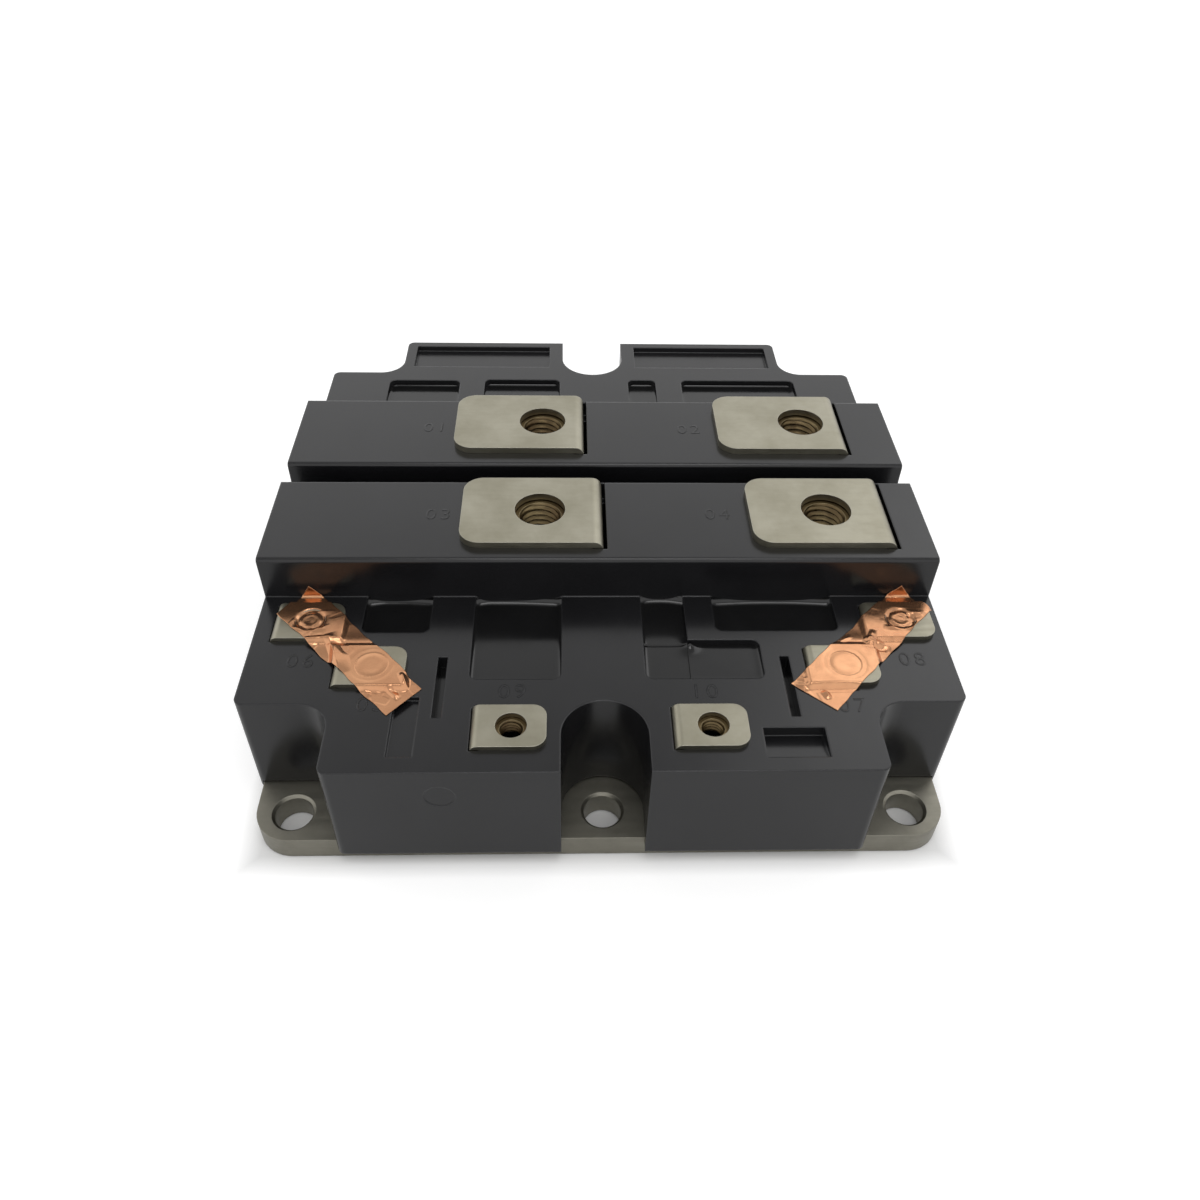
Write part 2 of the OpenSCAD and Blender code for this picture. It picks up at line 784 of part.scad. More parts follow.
// The gel stands clear of the chips and their wire arches, which the real gel flows around.
module wire_room() {
    room_x0 = room_margin - sub_w / 2;
    room_w = CHIP_COLUMNS[2] + chip_w / 2 + room_margin - room_x0;
    room_h = wire_z + wire_span / 2 + wire_d - pad_z;
    on_substrates()
        translate([room_x0, room_margin - sub_d / 2, pad_z]) cube([room_w, sub_d - 2 * room_margin, room_h]);
}

module silicone_gel() {
    color("#c8c4b4")
        difference() {
            translate([0, 0, plate_t]) linear_extrude(gel_z - plate_t) case_plan(wall_t);
            on_substrates() slab(sub_w, sub_d, plate_t - eps, chip_z - plate_t + eps);
            wire_room();
            gate_board(-1);
            gate_board(1);
            gate_pins();
            gate_resistors();
            all_terminals();
            for (at = SMALL)
                small_boss(at);
        }
}

// The resin fills the case up to the deck's underside, and stands a little higher in the windows.
module potting_resin() {
    color("#2c2c2e")
        difference() {
            union() {
                translate([0, 0, gel_z]) linear_extrude(under_z - gel_z) case_plan(wall_t);
                windows(under_z - eps, resin_z - under_z + eps);
            }
            all_terminals();
            for (at = SMALL)
                small_boss(at);
        }
}

// Copper tape over a gate and an emitter terminal, its end lifted against the front tower.
module shorting_tape(side) {
    gate_x = small_mid_x + side * gate_pitch / 2;
    emitter_x = small_mid_x + side * emitter_pitch / 2;
    turn = atan2(emitter_y - gate_y, emitter_x - gate_x);
    fold_y = front_y - tape_climb;
    top_z = deck_z + small_t;
    tape_l = tape_past_gate + tape_w + (front_y - gate_y) / sin(turn);
    color("#c8916a")
        intersection() {
            translate([gate_x, gate_y, deck_z])
                rotate(turn)
                    translate([-tape_past_gate, -tape_w / 2, 0]) cube([tape_l, tape_w, tower_h]);
            translate([side * case_w / 4 - case_w / 4, 0, 0])
                upright(case_w / 2)
                    polygon([
                        [-case_d / 2, top_z], [fold_y, top_z], [front_y, top_z + tape_climb],
                        [front_y, top_z + tape_climb + tape_t], [fold_y, top_z + tape_t],
                        [-case_d / 2, top_z + tape_t]
                    ]);
        }
}

base_plate();
housing();
sealing_bead();
substrate_solder();
substrate_backing();
ceramic(-1, -1);  // ceramic_front_left
ceramic(1, -1);  // ceramic_front_right
ceramic(-1, 1);  // ceramic_rear_left
ceramic(1, 1);  // ceramic_rear_right
collector_pads();
emitter_pads();
gate_pads();
igbt_chips();
diode_chips();
bond_wires();
emitter_bus(MAIN[0]);  // emitter_bus_left
emitter_bus(MAIN[1]);  // emitter_bus_right
collector_bus(MAIN[2]);  // collector_bus_left
collector_bus(MAIN[3]);  // collector_bus_right
small_terminal(SMALL[0]);  // gate_terminal_left
small_terminal(SMALL[3]);  // gate_terminal_right
small_terminal(SMALL[1]);  // emitter_terminal_left
small_terminal(SMALL[4]);  // emitter_terminal_right
small_terminal(SMALL[2]);  // collector_terminal_left
small_terminal(SMALL[5]);  // collector_terminal_right
main_nuts();
small_nuts();
gate_board(-1);  // gate_board_left
gate_board(1);  // gate_board_right
gate_pins();
gate_resistors();
silicone_gel();
potting_resin();
shorting_tape(-1);  // shorting_tape_left
shorting_tape(1);  // shorting_tape_right
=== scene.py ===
# %% [markdown]
# # A dual power module on a white table
# The object is a flat black case on a metal base plate. Four plated screw terminals sit on two
# raised towers, six small ones sit on the front deck, and two strips of copper foil lie over
# the gate and emitter terminals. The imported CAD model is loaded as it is, and this lesson adds
# what a CAD file lacks: finishes, threads, crumpled foil and the wet rim of the potting resin.

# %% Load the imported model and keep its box
import json
import math

import bpy
import numpy as np
from mathutils import Matrix, Vector


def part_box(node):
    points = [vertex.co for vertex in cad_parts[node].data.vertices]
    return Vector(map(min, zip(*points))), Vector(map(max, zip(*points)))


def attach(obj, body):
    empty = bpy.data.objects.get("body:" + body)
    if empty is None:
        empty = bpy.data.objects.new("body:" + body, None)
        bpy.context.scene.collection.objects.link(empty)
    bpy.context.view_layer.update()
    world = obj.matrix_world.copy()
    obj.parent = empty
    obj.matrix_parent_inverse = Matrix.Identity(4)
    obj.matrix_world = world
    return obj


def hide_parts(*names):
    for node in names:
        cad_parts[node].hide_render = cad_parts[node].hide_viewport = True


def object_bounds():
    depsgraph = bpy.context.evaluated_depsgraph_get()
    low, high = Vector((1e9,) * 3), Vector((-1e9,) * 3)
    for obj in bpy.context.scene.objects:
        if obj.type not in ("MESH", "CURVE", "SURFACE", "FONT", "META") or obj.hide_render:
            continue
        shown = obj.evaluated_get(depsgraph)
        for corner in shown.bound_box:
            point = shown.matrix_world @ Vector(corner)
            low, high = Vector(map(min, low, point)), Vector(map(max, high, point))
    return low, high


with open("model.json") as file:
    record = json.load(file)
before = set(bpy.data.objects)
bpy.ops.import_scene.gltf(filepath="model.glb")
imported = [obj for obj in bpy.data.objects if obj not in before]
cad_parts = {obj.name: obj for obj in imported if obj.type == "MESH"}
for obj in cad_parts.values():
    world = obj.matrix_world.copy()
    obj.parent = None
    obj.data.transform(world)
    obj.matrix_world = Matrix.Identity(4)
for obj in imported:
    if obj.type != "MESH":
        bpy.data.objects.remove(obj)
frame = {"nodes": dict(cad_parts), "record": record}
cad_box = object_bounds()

MM = 0.001
SCENE = bpy.context.scene
print("nodes:", len(frame["nodes"]), "box:", [tuple(round(v, 4) for v in c) for c in cad_box])

# %% [markdown]
# ## Places come from the model
# Screw places are the model's own mounts: a bolt pattern gives its middle and its spacings.
# Heights come from the boxes of the nodes. Nothing is typed twice, so a change of the CAD
# part moves the pieces made here too.

# %% Screw places and main heights
MOUNTS = {m["name"]: m for m in frame["record"]["mounts"]}


def screw_places(name):
    """Screws of one pattern: its middle plus and minus half of each spacing, left before right."""
    mount = MOUNTS[name]
    mid_x, mid_y, top = mount["pos_m"]
    half_x = mount["dims"].get("spacing_x_mm", 0) * MM / 2
    half_y = mount["dims"].get("spacing_y_mm", 0) * MM / 2
    steps_y = (-half_y, half_y) if half_y else (0,)
    return [(mid_x + sx * half_x, mid_y + sy, top) for sy in steps_y for sx in (-1, 1)]


main_screws = screw_places("main_terminal_threads")
collector_screws = screw_places("collector_terminal_threads")
gate_screws = screw_places("gate_terminal_threads")
emitter_screws = screw_places("emitter_terminal_threads")
small_screws = gate_screws + emitter_screws + collector_screws

plate_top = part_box("gate_terminal_left")[1].z
plate_t = 1.0 * MM
deck_z = plate_top - plate_t
resin_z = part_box("potting_resin")[1].z
tower_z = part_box("housing")[1].z
tower_front_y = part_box("shorting_tape_left")[1].y
print("deck", round(deck_z, 5), "resin", round(resin_z, 5), "tower", round(tower_z, 5))

# %% [markdown]
# ## Building materials with a short helper
# A shader is a small network of nodes. The helper below adds one node, sets its options, and
# either types a number into each input or links another node's output to it. That keeps every
# material to a few readable lines.

# %% Node helpers
def put(tree, kind, options=None, **inputs):
    """One node in tree. An input is a number, a colour, or another node's output to link."""
    node = tree.nodes.new(kind)
    for key, value in (options or {}).items():
        setattr(node, key, value)
    for key, value in inputs.items():
        socket = node.inputs[int(key[1:])] if key[1:].isdigit() else node.inputs[key.replace("_", " ")]
        if isinstance(value, bpy.types.NodeSocket):
            tree.links.new(value, socket)
        else:
            socket.default_value = value
    return node


def blend_colour(tree, factor, dark, light):
    """The colour that goes from dark to light as factor goes from 0 to 1."""
    mix = put(tree, "ShaderNodeMix", {"data_type": "RGBA"})
    for index, value in ((0, factor), (6, dark), (7, light)):
        if isinstance(value, bpy.types.NodeSocket):
            tree.links.new(value, mix.inputs[index])
        else:
            mix.inputs[index].default_value = value if index == 0 else (*value, 1)
    return mix.outputs[2]


def spread(tree, value, low, high, to_low, to_high):
    """value, mapped from low..high onto to_low..to_high and held inside it."""
    node = put(tree, "ShaderNodeMapRange", _0=value, _1=low, _2=high, _3=to_low, _4=to_high)
    return node.outputs[0]


def place_on(tree, stretch=(1, 1, 1)):
    """Object coordinates in metres, stretched along an axis where a finish has a direction."""
    where = put(tree, "ShaderNodeTexCoord").outputs["Object"]
    if stretch == (1, 1, 1):
        return where
    return put(tree, "ShaderNodeMapping", Vector=where, Scale=stretch).outputs[0]


def noise(tree, where, scale, detail=3.0, rough=0.5):
    """Smooth random value from 0 to 1; scale is in repeats per metre."""
    return put(tree, "ShaderNodeTexNoise", Vector=where, Scale=scale, Detail=detail,
               Roughness=rough).outputs["Fac"]


def new_material(name):
    """An empty node material with its output: returns (material, tree, Principled BSDF)."""
    material = bpy.data.materials.new(name)
    material.use_nodes = True
    tree = material.node_tree
    tree.nodes.clear()
    shader = put(tree, "ShaderNodeBsdfPrincipled")
    out = put(tree, "ShaderNodeOutputMaterial")
    tree.links.new(shader.outputs[0], out.inputs[0])
    return material, tree, shader


print("helpers ready")

# %% [markdown]
# ## Shared effects as node groups
# Moulded and stamped edges are never razor sharp, and a hairline of light runs along them. The
# first group gives a softened normal and a mask that is 1 on the edges. The second adds two
# sizes of grain: a fine one for the surface, and a coarse one for smears from handling.

# %% Edge and grain groups
def new_group(name, inputs, outputs):
    """A shader node group with named sockets: returns (group, its input node, its output node)."""
    group = bpy.data.node_groups.new(name, "ShaderNodeTree")
    for label, kind, start in inputs:
        socket = group.interface.new_socket(label, in_out="INPUT", socket_type=kind)
        if start is not None:
            socket.default_value = start
    for label, kind in outputs:
        group.interface.new_socket(label, in_out="OUTPUT", socket_type=kind)
    return group, group.nodes.new("NodeGroupInput"), group.nodes.new("NodeGroupOutput")


def make_soft_edge():
    """Softened normal, and a mask: how far the softened normal leans away from the flat one."""
    group, given, out = new_group("soft_edge", [("Radius", "NodeSocketFloat", 0.0003)],
                                  [("Normal", "NodeSocketVector"), ("Edge", "NodeSocketFloat")])
    bevel = put(group, "ShaderNodeBevel", {"samples": 6}, Radius=given.outputs["Radius"])
    flat = put(group, "ShaderNodeNewGeometry")
    lean = put(group, "ShaderNodeVectorMath", {"operation": "DOT_PRODUCT"}, _0=bevel.outputs[0],
               _1=flat.outputs["Normal"])
    edge = spread(group, lean.outputs["Value"], 0.995, 0.85, 0.0, 1.0)
    group.links.new(bevel.outputs[0], out.inputs["Normal"])
    group.links.new(edge, out.inputs["Edge"])
    return group


def make_grain():
    """Fine grain for a bump, and coarse smears, both from 0 to 1."""
    group, given, out = new_group("grain", [("Fine", "NodeSocketFloat", 6000.0),
                                            ("Coarse", "NodeSocketFloat", 120.0)],
                                  [("Height", "NodeSocketFloat"), ("Smear", "NodeSocketFloat")])
    where = place_on(group)
    fine = noise(group, where, given.outputs["Fine"], 2.0, 0.6)
    coarse = noise(group, where, given.outputs["Coarse"], 5.0, 0.62)
    group.links.new(fine, out.inputs["Height"])
    group.links.new(spread(group, coarse, 0.35, 0.68, 0.0, 1.0), out.inputs["Smear"])
    return group


SOFT_EDGE = make_soft_edge()
GRAIN = make_grain()


def soft_edge(tree, radius):
    """The soft_edge group with its radius in metres."""
    return put(tree, "ShaderNodeGroup", {"node_tree": SOFT_EDGE}, Radius=radius)


def grain(tree, fine, coarse):
    """The grain group with its two scales in repeats per metre."""
    return put(tree, "ShaderNodeGroup", {"node_tree": GRAIN}, Fine=fine, Coarse=coarse)


def bump(tree, height, depth, strength=1.0, normal=None):
    """A bump of the given depth in metres, over another normal where one is given."""
    node = put(tree, "ShaderNodeBump", Strength=strength, Distance=depth, Height=height)
    if normal is not None:
        tree.links.new(normal, node.inputs["Normal"])
    return node.outputs[0]


print("groups:", [g.name for g in bpy.data.node_groups])

# %% [markdown]
# ## The moulded case
# The case is a charcoal glass-filled plastic with a satin skin. Its own colour is almost
# black: what makes the top look grey is the bright room in its skin. So the base colour stays
# dark, the roughness carries soft smears, and the edges are painted paler: a painted highlight
# along the rounded edges, with a little light wear.

# %% Case plastic
def make_case_plastic():
    material, tree, shader = new_material("case_plastic")
    edges = soft_edge(tree, 0.45 * MM)
    skin = grain(tree, 5200.0, 75.0)
    flow = noise(tree, place_on(tree, (1, 0.25, 1)), 60.0, 4.0, 0.6)
    tone = blend_colour(tree, skin.outputs["Smear"], (0.0062, 0.0062, 0.0070), (0.0088, 0.0088, 0.0098))
    # Painted highlight: the edge mask paints the rounded edges paler, partly as light wear.
    edge_highlight_and_wear = spread(tree, edges.outputs["Edge"], 0.0, 1.0, 0.0, 0.6)
    tree.links.new(blend_colour(tree, edge_highlight_and_wear, tone, (0.030, 0.031, 0.033)), shader.inputs["Base Color"])
    tree.links.new(spread(tree, flow, 0.3, 0.7, 0.19, 0.27), shader.inputs["Roughness"])
    normal = bump(tree, skin.outputs["Height"], 0.006 * MM, 0.4, edges.outputs["Normal"])
    tree.links.new(normal, shader.inputs["Normal"])
    shader.inputs["IOR"].default_value = 1.5
    return material


case_plastic = make_case_plastic()
print("made", case_plastic.name)

# %% [markdown]
# ## Potting resin and silicone
# The resin under the windows set from a liquid, so it is smoother than the moulding and
# mirrors the tower above it. The gel and the sealing bead are hidden but get a finish too.

# %% Resin, gel and sealant
def make_cast(name, dark, light, rough, ripple):
    """A cast material: two close tones, one gloss, and long low ripples on its skin."""
    material, tree, shader = new_material(name)
    skin = grain(tree, 2500.0, 90.0)
    tree.links.new(blend_colour(tree, skin.outputs["Smear"], dark, light), shader.inputs["Base Color"])
    tree.links.new(spread(tree, skin.outputs["Smear"], 0.0, 1.0, rough, rough + 0.08),
                   shader.inputs["Roughness"])
    long_wave = noise(tree, place_on(tree), 150.0, 2.0)
    tree.links.new(bump(tree, long_wave, ripple, 0.6), shader.inputs["Normal"])
    return material


potting = make_cast("resin", (0.0042, 0.0042, 0.0044), (0.0060, 0.0060, 0.0063), 0.12, 0.02 * MM)
gel = make_cast("gel", (0.52, 0.50, 0.43), (0.60, 0.58, 0.50), 0.20, 0.10 * MM)
sealant = make_cast("sealant", (0.010, 0.010, 0.011), (0.016, 0.016, 0.017), 0.50, 0.05 * MM)
print("cast:", potting.name, gel.name, sealant.name)

# %% [markdown]
# ## Metals
# Plated sheet, ground base plate, yellow nuts, bare copper and bond wire are all one kind of
# shader, a metal, with different colours, brushing direction and grain. One function builds
# them, and its arguments are what tells them apart.

# %% Metals
def make_metal(name, dark, light, rough, brush=(1, 1, 1), brush_scale=900.0, depth=0.004,
               edge_highlight_tone=None, edge_radius=0.2):
    """Metal: tone and gloss from smears, a bump of brushing lines, and, where an edge colour is given, a
    painted highlight along the edges.
    """
    material, tree, shader = new_material(name)
    edges = soft_edge(tree, edge_radius * MM)
    skin = grain(tree, 4000.0, 110.0)
    lines = noise(tree, place_on(tree, brush), brush_scale, 3.0, 0.6)
    tone = blend_colour(tree, skin.outputs["Smear"], dark, light)
    # Painted highlight: the edges are blended towards the paler edge colour.
    if edge_highlight_tone:
        tone = blend_colour(tree, spread(tree, edges.outputs["Edge"], 0.0, 1.0, 0.0, 0.7), tone, edge_highlight_tone)
    tree.links.new(tone, shader.inputs["Base Color"])
    tree.links.new(spread(tree, lines, 0.3, 0.7, rough - 0.05, rough + 0.07), shader.inputs["Roughness"])
    normal = bump(tree, lines, depth * MM, 0.5, edges.outputs["Normal"])
    tree.links.new(normal, shader.inputs["Normal"])
    shader.inputs["Metallic"].default_value = 1.0
    return material


base_metal = make_metal("base_metal", (0.235, 0.224, 0.186), (0.300, 0.288, 0.242), 0.42,
                        brush=(0.06, 1, 1), brush_scale=1500.0, depth=0.006)
# The plated sheet's paler edge colour is a painted highlight.
plated = make_metal("plated_copper", (0.300, 0.282, 0.215), (0.375, 0.355, 0.282), 0.36,
                    brush=(0.15, 1, 1), brush_scale=1200.0, edge_highlight_tone=(0.50, 0.49, 0.42))
# The nuts keep their yellow zinc colour, darkened as painted shade of the deep bores. Their paler edge
# colour is a painted highlight.
nut_metal = make_metal("nut_metal", (0.085, 0.056, 0.030), (0.19, 0.145, 0.075), 0.32, depth=0.008,
                       edge_highlight_tone=(0.36, 0.31, 0.19))
bare_copper = make_metal("bare_copper", (0.50, 0.24, 0.13), (0.62, 0.32, 0.20), 0.40)
bond_aluminium = make_metal("bond_aluminium", (0.70, 0.70, 0.68), (0.80, 0.80, 0.79), 0.25)
pin_metal = make_metal("pin_metal", (0.52, 0.46, 0.28), (0.62, 0.56, 0.38), 0.30)
solder = make_metal("solder", (0.42, 0.42, 0.40), (0.55, 0.55, 0.53), 0.45, depth=0.02)
print("metals:", [m.name for m in (base_metal, plated, nut_metal, bare_copper, bond_aluminium)])

# %% [markdown]
# ## Foil
# The copper foil is bright where it is flat and dark where it mirrors the tower. Most of that
# comes from the crumpled shape, made further down. Here it gets small dents, and a thin veil of
# tarnish that keeps it from looking new.

# %% Copper foil
def make_foil():
    material, tree, shader = new_material("copper_foil")
    where = place_on(tree)
    dents = put(tree, "ShaderNodeTexVoronoi", {"feature": "SMOOTH_F1"}, Vector=where, Scale=380.0)
    fine = noise(tree, where, 1300.0, 3.0, 0.6)
    veil = spread(tree, noise(tree, where, 130.0, 4.0, 0.6), 0.35, 0.7, 0.0, 1.0)
    tree.links.new(blend_colour(tree, veil, (0.66, 0.345, 0.185), (0.56, 0.270, 0.142)),
                   shader.inputs["Base Color"])
    tree.links.new(spread(tree, veil, 0.0, 1.0, 0.20, 0.30), shader.inputs["Roughness"])
    large = bump(tree, dents.outputs["Distance"], 0.10 * MM, 0.3)
    tree.links.new(bump(tree, fine, 0.02 * MM, 0.4, large), shader.inputs["Normal"])
    shader.inputs["Metallic"].default_value = 1.0
    return material


foil = make_foil()
print("made", foil.name)

# %% [markdown]
# ## Hidden parts
# Ceramic, silicon, boards and resistors sit inside the case. They are finished plainly, with
# the grain and gloss of the real stuff, so a cutaway of the module looks right as well.

# %% Ceramic, silicon, board and resistor
def make_plain(name, dark, light, rough, fine=3000.0, depth=0.006, metallic=0.0):
    """A plain finish: two close tones in coarse patches, and a fine bump."""
    material, tree, shader = new_material(name)
    skin = grain(tree, fine, 160.0)
    tree.links.new(blend_colour(tree, skin.outputs["Smear"], dark, light), shader.inputs["Base Color"])
    tree.links.new(bump(tree, skin.outputs["Height"], depth * MM, 0.5), shader.inputs["Normal"])
    tree.links.new(spread(tree, skin.outputs["Height"], 0.3, 0.7, rough - 0.04, rough + 0.06),
                   shader.inputs["Roughness"])
    shader.inputs["Metallic"].default_value = metallic
    return material


ceramic = make_plain("ceramic", (0.66, 0.65, 0.58), (0.74, 0.73, 0.67), 0.55, fine=6000.0)
igbt_silicon = make_plain("igbt_silicon", (0.16, 0.17, 0.22), (0.22, 0.23, 0.28), 0.22, metallic=0.6)
diode_silicon = make_plain("diode_silicon", (0.26, 0.26, 0.28), (0.33, 0.33, 0.36), 0.22, metallic=0.6)
board = make_plain("board", (0.020, 0.110, 0.042), (0.030, 0.145, 0.058), 0.38)
resistor_body = make_plain("resistor_body", (0.035, 0.045, 0.090), (0.050, 0.062, 0.115), 0.30)

FINISHES = {
    "case_plastic": case_plastic, "resin": potting, "gel": gel, "sealant": sealant,
    "base_metal": base_metal, "plated_copper": plated, "nut_metal": nut_metal,
    "bare_copper": bare_copper, "bond_aluminium": bond_aluminium, "pin_metal": pin_metal,
    "solder": solder, "copper_foil": foil, "ceramic": ceramic, "igbt_silicon": igbt_silicon,
    "diode_silicon": diode_silicon, "board": board, "resistor_body": resistor_body,
}

# %% Give every CAD node its finish
for part in frame["record"]["subparts"]:
    for material_slot in frame["nodes"][part["node"]].material_slots:
        material_slot.material = FINISHES[part["material_slot"]]

# %% [markdown]
# ## Surfaces from grids
# The pieces made here are grids of points worked out with numpy as whole arrays. One helper
# turns a grid into a mesh: every four neighbouring points make one face, and a closed grid is
# joined to itself both ways, as the skin of a ring is.

# %% Grid to mesh
def grid_faces(count_u, count_v, closed=False):
    """Faces that join each point to the next along u and along v; a closed grid joins its last
    row and column to its first ones as well."""
    index = np.arange(count_u * count_v).reshape(count_u, count_v)
    if closed:
        index = np.concatenate([index, index[:1]])
        index = np.concatenate([index, index[:, :1]], axis=1)
    return np.stack([index[:-1, :-1], index[1:, :-1], index[1:, 1:], index[:-1, 1:]], axis=-1)


def grid_piece(name, points, finish):
    """Mesh from points[u, v] in metres."""
    faces = grid_faces(*points.shape[:2]).reshape(-1, 4)
    return mesh_piece(name, points.reshape(-1, 3), faces, finish)


def mesh_piece(name, points, faces, finish, smooth=True):
    """One object at the origin from points and faces that all have as many corners; it rides
    on the module."""
    mesh = bpy.data.meshes.new(name)
    mesh.vertices.add(len(points))
    mesh.vertices.foreach_set("co", np.ascontiguousarray(points, dtype=np.float32).ravel())
    mesh.loops.add(faces.size)
    mesh.loops.foreach_set("vertex_index", np.ascontiguousarray(faces, dtype=np.int32).ravel())
    mesh.polygons.add(len(faces))
    mesh.polygons.foreach_set("loop_start", np.arange(0, faces.size, faces.shape[1], dtype=np.int32))
    mesh.polygons.foreach_set("use_smooth", np.full(len(faces), smooth))
    mesh.update(calc_edges=True)
    mesh.validate()
    mesh.materials.append(finish)
    piece = bpy.data.objects.new(name, mesh)
    SCENE.collection.objects.link(piece)
    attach(piece, "root")
    return piece


print("grid helper ready")

# %% [markdown]
# ## Threaded nuts
# Through each terminal's hole you look into a nut. The CAD nuts have plain bores, so these
# stand for them: a closed profile runs up the hexagon, over its chamfer, into the bore and down
# a zigzag, and it is carried round the screw. The zigzag shifts by one pitch in each turn, and
# that makes it a thread.

# %% Nuts with a real thread
def nut_rings(screw, node_box, flats, minor_r, major_r, pitch, around=96, per_turn=8):
    """Grid of one nut. Outside: distance to a hexagon, flats / 2 divided by the cosine of the
    angle from the nearest flat's middle. Bore: radius goes up and down between minor_r and
    major_r as a triangle wave of height over pitch, less the turn."""
    low, high = node_box
    height = high - low
    turn = np.linspace(0, 1, around, endpoint=False)[:, None]
    angle = turn * 2 * math.pi
    sector = (angle + math.pi / 6) % (math.pi / 3) - math.pi / 6
    hexagon = flats / 2 / np.cos(sector)
    chamfer = 0.06 * flats
    rim = np.minimum(hexagon, flats / 2 * 1.02)
    steps = max(12, int(height / pitch * per_turn))
    z_bore = np.linspace(height - 0.35 * pitch, 0.35 * pitch, steps)[None, :]
    phase = (z_bore / pitch - turn) % 1.0
    wave = 1 - np.abs(2 * phase - 1)
    end_fade = np.clip(np.minimum(z_bore, height - z_bore) / (1.2 * pitch), 0, 1)
    radius = minor_r + (major_r - minor_r) * np.maximum(wave, 1 - end_fade)
    ones = np.ones_like(turn)
    outline = [
        (major_r * ones, 0 * ones), (rim, 0 * ones), (hexagon, chamfer * ones),
        (hexagon, (height - chamfer) * ones), (rim, height * ones),
        ((major_r + 0.12 * pitch) * ones, height * ones),
    ]
    r = np.concatenate([np.concatenate([o[0] for o in outline], axis=1), radius], axis=1)
    z = np.concatenate([np.concatenate([o[1] for o in outline], axis=1),
                        np.broadcast_to(z_bore, radius.shape)], axis=1)
    x = screw[0] + r * np.cos(angle)
    y = screw[1] + r * np.sin(angle)
    return np.stack([x, y, low + z], axis=-1)


def thread_nuts(name, node, screws, flats, minor_r, major_r, pitch):
    """All the nuts of one size as one piece that stands for the CAD node."""
    corner_low, corner_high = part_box(node)
    ends = (corner_low.z, corner_high.z)
    rings = [nut_rings(s, ends, flats, minor_r, major_r, pitch) for s in screws]
    count_u, count_v = rings[0].shape[:2]
    faces = grid_faces(count_u, count_v, closed=True).reshape(-1, 4)
    all_faces = np.concatenate([faces + k * count_u * count_v for k in range(len(rings))])
    all_points = np.concatenate([r.reshape(-1, 3) for r in rings])
    piece = mesh_piece(name, all_points, all_faces, nut_metal, smooth=False)
    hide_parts(node)
    print(name, "faces", len(all_faces))
    return piece


thread_nuts("threaded_main_nuts", "main_nuts", main_screws, 13 * MM, 3.32 * MM, 4.0 * MM, 1.25 * MM)
thread_nuts("threaded_small_nuts", "small_nuts", small_screws, 7 * MM, 1.62 * MM, 2.0 * MM, 0.7 * MM)

# %% [markdown]
# ## Crumpled copper foil
# Each tape is one strip of foil, pressed by a thumb over two terminals. It hugs the plates,
# steps down to the deck around them, shows the screw holes as rings, and one corner stands up
# against the tower. Cloth simulation would give soft drapes; foil folds sharply and stays
# folded. So the strip is a grid whose height is a sum of simple things: the plates under it,
# the rings, a few folds along straight lines, and fine crumples where it lies free.

# %% Pieces of the foil's height
def plate_gap(x, y, screw):
    """Distance outside a small terminal's plate, 0 on it, for points in millimetres."""
    left, right, half_w = -7.0, 6.1, 4.65
    dx = np.abs(x - screw[0] / MM - (left + right) / 2) - (right - left) / 2
    dy = np.abs(y - screw[1] / MM) - half_w
    return np.hypot(np.maximum(dx, 0), np.maximum(dy, 0))


def ease(t):
    """0 to 1 with a soft start and end: three t squared less two t cubed."""
    t = np.clip(t, 0, 1)
    return t * t * (3 - 2 * t)


def fold(x, y, start, end, height, width, lean=0.5):
    """A fold along a line from start to end: a tent across it, 1 on the line and 0 at width on
    each side, with its top moved sideways by lean, fading over the last third of its length."""
    along = np.subtract(end, start)
    length = np.hypot(*along)
    run = ((x - start[0]) * along[0] + (y - start[1]) * along[1]) / length ** 2
    off = ((y - start[1]) * along[0] - (x - start[0]) * along[1]) / length / width
    across = np.where(off > 0, 1 - off / (2 * lean), 1 + off / (2 - 2 * lean))
    ends = np.clip(np.minimum(run, 1 - run) * 3 + 0.35, 0, 1)
    return height * np.clip(across, 0, 1) * ends


def ring(x, y, screw, depth, radius, width):
    """The edge of a screw hole felt through the foil: a groove at radius, and a shallow dip inside."""
    r = np.hypot(x - screw[0] / MM, y - screw[1] / MM)
    return -depth * np.exp(-((r - radius) / width) ** 2) - 0.5 * depth * ease((radius - r) / radius * 1.5)


def crumple(x, y, count, rng, height):
    """Many short folds with random places, directions and signs inside the strip's own box."""
    total = np.zeros_like(x)
    for _ in range(count):
        start = (rng.uniform(x.min(), x.max()), rng.uniform(y.min(), y.max()))
        turn, length = rng.uniform(0, 2 * math.pi), rng.uniform(1.5, 5.0)
        end = (start[0] + length * math.cos(turn), start[1] + length * math.sin(turn))
        size = height * rng.uniform(0.3, 1.0) * (1 if rng.uniform() < 0.6 else -0.7)
        total = total + fold(x, y, start, end, size, rng.uniform(0.4, 1.2), rng.uniform(0.25, 0.75))
    return total


print("foil helpers ready")

